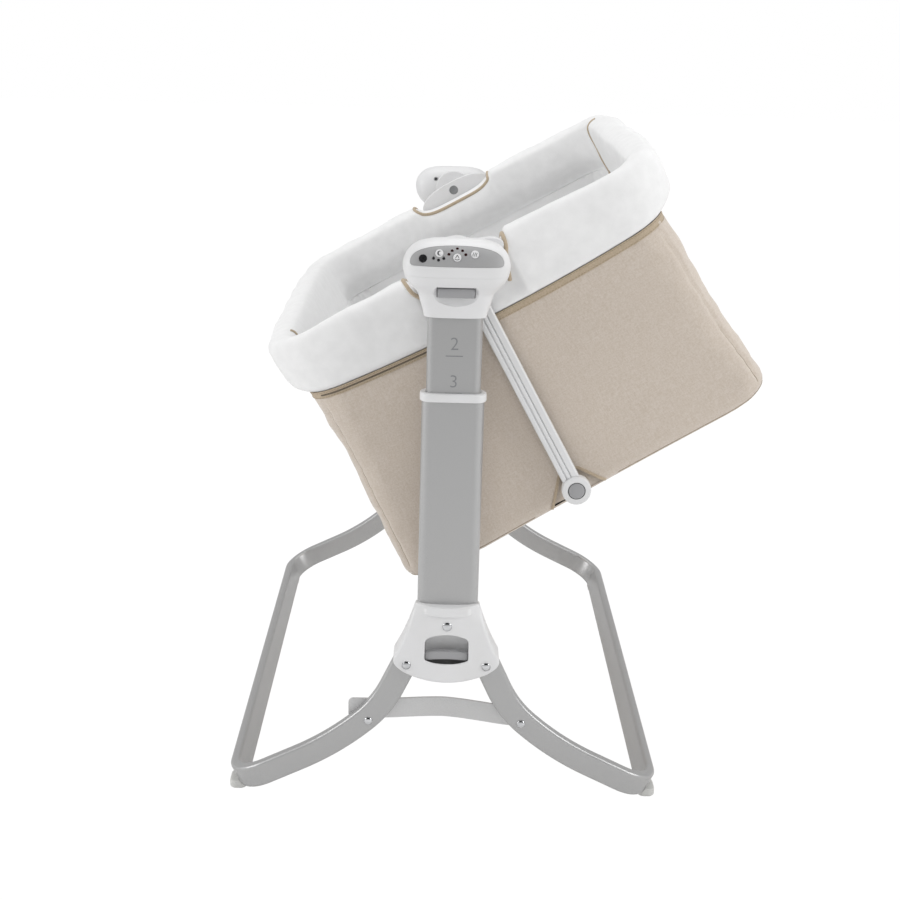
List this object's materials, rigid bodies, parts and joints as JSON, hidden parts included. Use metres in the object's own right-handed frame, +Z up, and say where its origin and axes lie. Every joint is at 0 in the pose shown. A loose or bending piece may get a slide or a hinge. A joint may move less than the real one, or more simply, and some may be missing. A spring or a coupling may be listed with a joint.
{
  "type": "rocking bedside cradle",
  "caption": "Rectangular fabric baby basket hung between two height-adjustable posts on a bent flat-oval tube stand, with a control pod on one post; the basket rocks from side to side.",
  "frame": {"origin": "middle of the bounding box, on the floor", "axes": "+X towards the basket's raised side, +Y from the control panel towards the other post, +Z up"},
  "size_m": [0.7568, 0.946, 0.9667],
  "materials": {
    "satin_tube": "satin",
    "inner_tube": "satin",
    "white_plastic": "semi-gloss",
    "grey_plastic": "matte",
    "dark_lens": "gloss",
    "pad_rubber": "matte",
    "steel": "brushed",
    "circuit": "matte",
    "melange_fabric": "woven",
    "white_textile": "soft",
    "fibreboard": "matte"
  },
  "bodies": {
    "stand": {"leg_loop_left": "satin_tube", "leg_loop_right": "satin_tube", "foot_left_front": "pad_rubber", "foot_right_front": "pad_rubber", "hub_front_cover_front": "white_plastic", "hub_back_cover_front": "white_plastic", "crossbar_front": "satin_tube", "outer_post_front": "satin_tube", "post_collar_front": "white_plastic", "foot_left_rear": "pad_rubber", "foot_right_rear": "pad_rubber", "hub_front_cover_rear": "white_plastic", "hub_back_cover_rear": "white_plastic", "crossbar_rear": "satin_tube", "outer_post_rear": "satin_tube", "post_collar_rear": "white_plastic"},
    "lift": {"control_panel": "grey_plastic", "receiver_window": "dark_lens", "control_board": "circuit", "inner_post_front": "inner_tube", "slider_foot_front": "white_plastic", "pod_body_front": "white_plastic", "pod_cover_front": "white_plastic", "bearing_block_front": "grey_plastic", "inner_post_rear": "inner_tube", "slider_foot_rear": "white_plastic", "pod_body_rear": "white_plastic", "pod_cover_rear": "white_plastic", "bearing_block_rear": "grey_plastic"},
    "basket": {"rim_tube": "satin_tube", "bottom_tube": "satin_tube", "fabric_body": "melange_fabric", "rim_cover": "white_textile", "inner_liner": "white_textile", "bottom_board": "fibreboard", "mattress": "white_textile", "axle_front": "steel", "side_arm_front": "white_plastic", "strut_front": "steel", "bottom_hub_front": "white_plastic", "axle_rear": "steel", "side_arm_rear": "white_plastic", "strut_rear": "steel", "bottom_hub_rear": "white_plastic"},
    "hub_lever_front": {"hub_lever_front": "grey_plastic"},
    "release_lever_front": {"release_lever_front": "grey_plastic"},
    "bottom_button_front": {"bottom_button_front": "grey_plastic"},
    "hub_lever_rear": {"hub_lever_rear": "grey_plastic"},
    "release_lever_rear": {"release_lever_rear": "grey_plastic"},
    "bottom_button_rear": {"bottom_button_rear": "grey_plastic"},
    "panel_button_1": {"panel_button_1": "white_plastic"},
    "panel_button_2": {"panel_button_2": "white_plastic"},
    "panel_button_3": {"panel_button_3": "white_plastic"}
  },
  "joints": [
    {"name": "height_slide", "type": "slide", "parent": "stand", "child": "lift", "axis": [0, 0, 1], "range_m": [-0.104, 0.104]},
    {"name": "basket_rock", "type": "hinge", "parent": "lift", "child": "basket", "pos_m": [-0.05655, 0, 0.8076], "axis": [0, -1, 0], "range_deg": [-58, 0]},
    {"name": "hub_lever_front_slide", "type": "slide", "parent": "stand", "child": "hub_lever_front", "axis": [0, 0, -1], "range_m": [0, 0.006], "stiffness_N_per_m": 400, "springref_m": -0.002},
    {"name": "release_lever_front_hinge", "type": "hinge", "parent": "lift", "child": "release_lever_front", "pos_m": [-0.05655, -0.4535, 0.7775], "axis": [1, 0, 0], "range_deg": [0, 12], "stiffness_Nm_per_rad": 0.2, "springref_deg": -11.46},
    {"name": "bottom_button_front_slide", "type": "slide", "parent": "basket", "child": "bottom_button_front", "axis": [0, 1, 0], "range_m": [0, 0.004], "stiffness_N_per_m": 400, "springref_m": -0.002},
    {"name": "hub_lever_rear_slide", "type": "slide", "parent": "stand", "child": "hub_lever_rear", "axis": [0, 0, -1], "range_m": [0, 0.006], "stiffness_N_per_m": 400, "springref_m": -0.002},
    {"name": "release_lever_rear_hinge", "type": "hinge", "parent": "lift", "child": "release_lever_rear", "pos_m": [-0.05655, 0.4535, 0.7775], "axis": [-1, 0, 0], "range_deg": [0, 12], "stiffness_Nm_per_rad": 0.2, "springref_deg": -11.46},
    {"name": "bottom_button_rear_slide", "type": "slide", "parent": "basket", "child": "bottom_button_rear", "axis": [0, -1, 0], "range_m": [0, 0.004], "stiffness_N_per_m": 400, "springref_m": -0.002},
    {"name": "panel_button_1_slide", "type": "slide", "parent": "lift", "child": "panel_button_1", "axis": [0, 0.9063, -0.4226], "range_m": [0, 0.001], "stiffness_N_per_m": 400, "springref_m": -0.001},
    {"name": "panel_button_2_slide", "type": "slide", "parent": "lift", "child": "panel_button_2", "axis": [0, 0.9063, -0.4226], "range_m": [0, 0.001], "stiffness_N_per_m": 400, "springref_m": -0.001},
    {"name": "panel_button_3_slide", "type": "slide", "parent": "lift", "child": "panel_button_3", "axis": [0, 0.9063, -0.4226], "range_m": [0, 0.001], "stiffness_N_per_m": 400, "springref_m": -0.001}
  ]
}
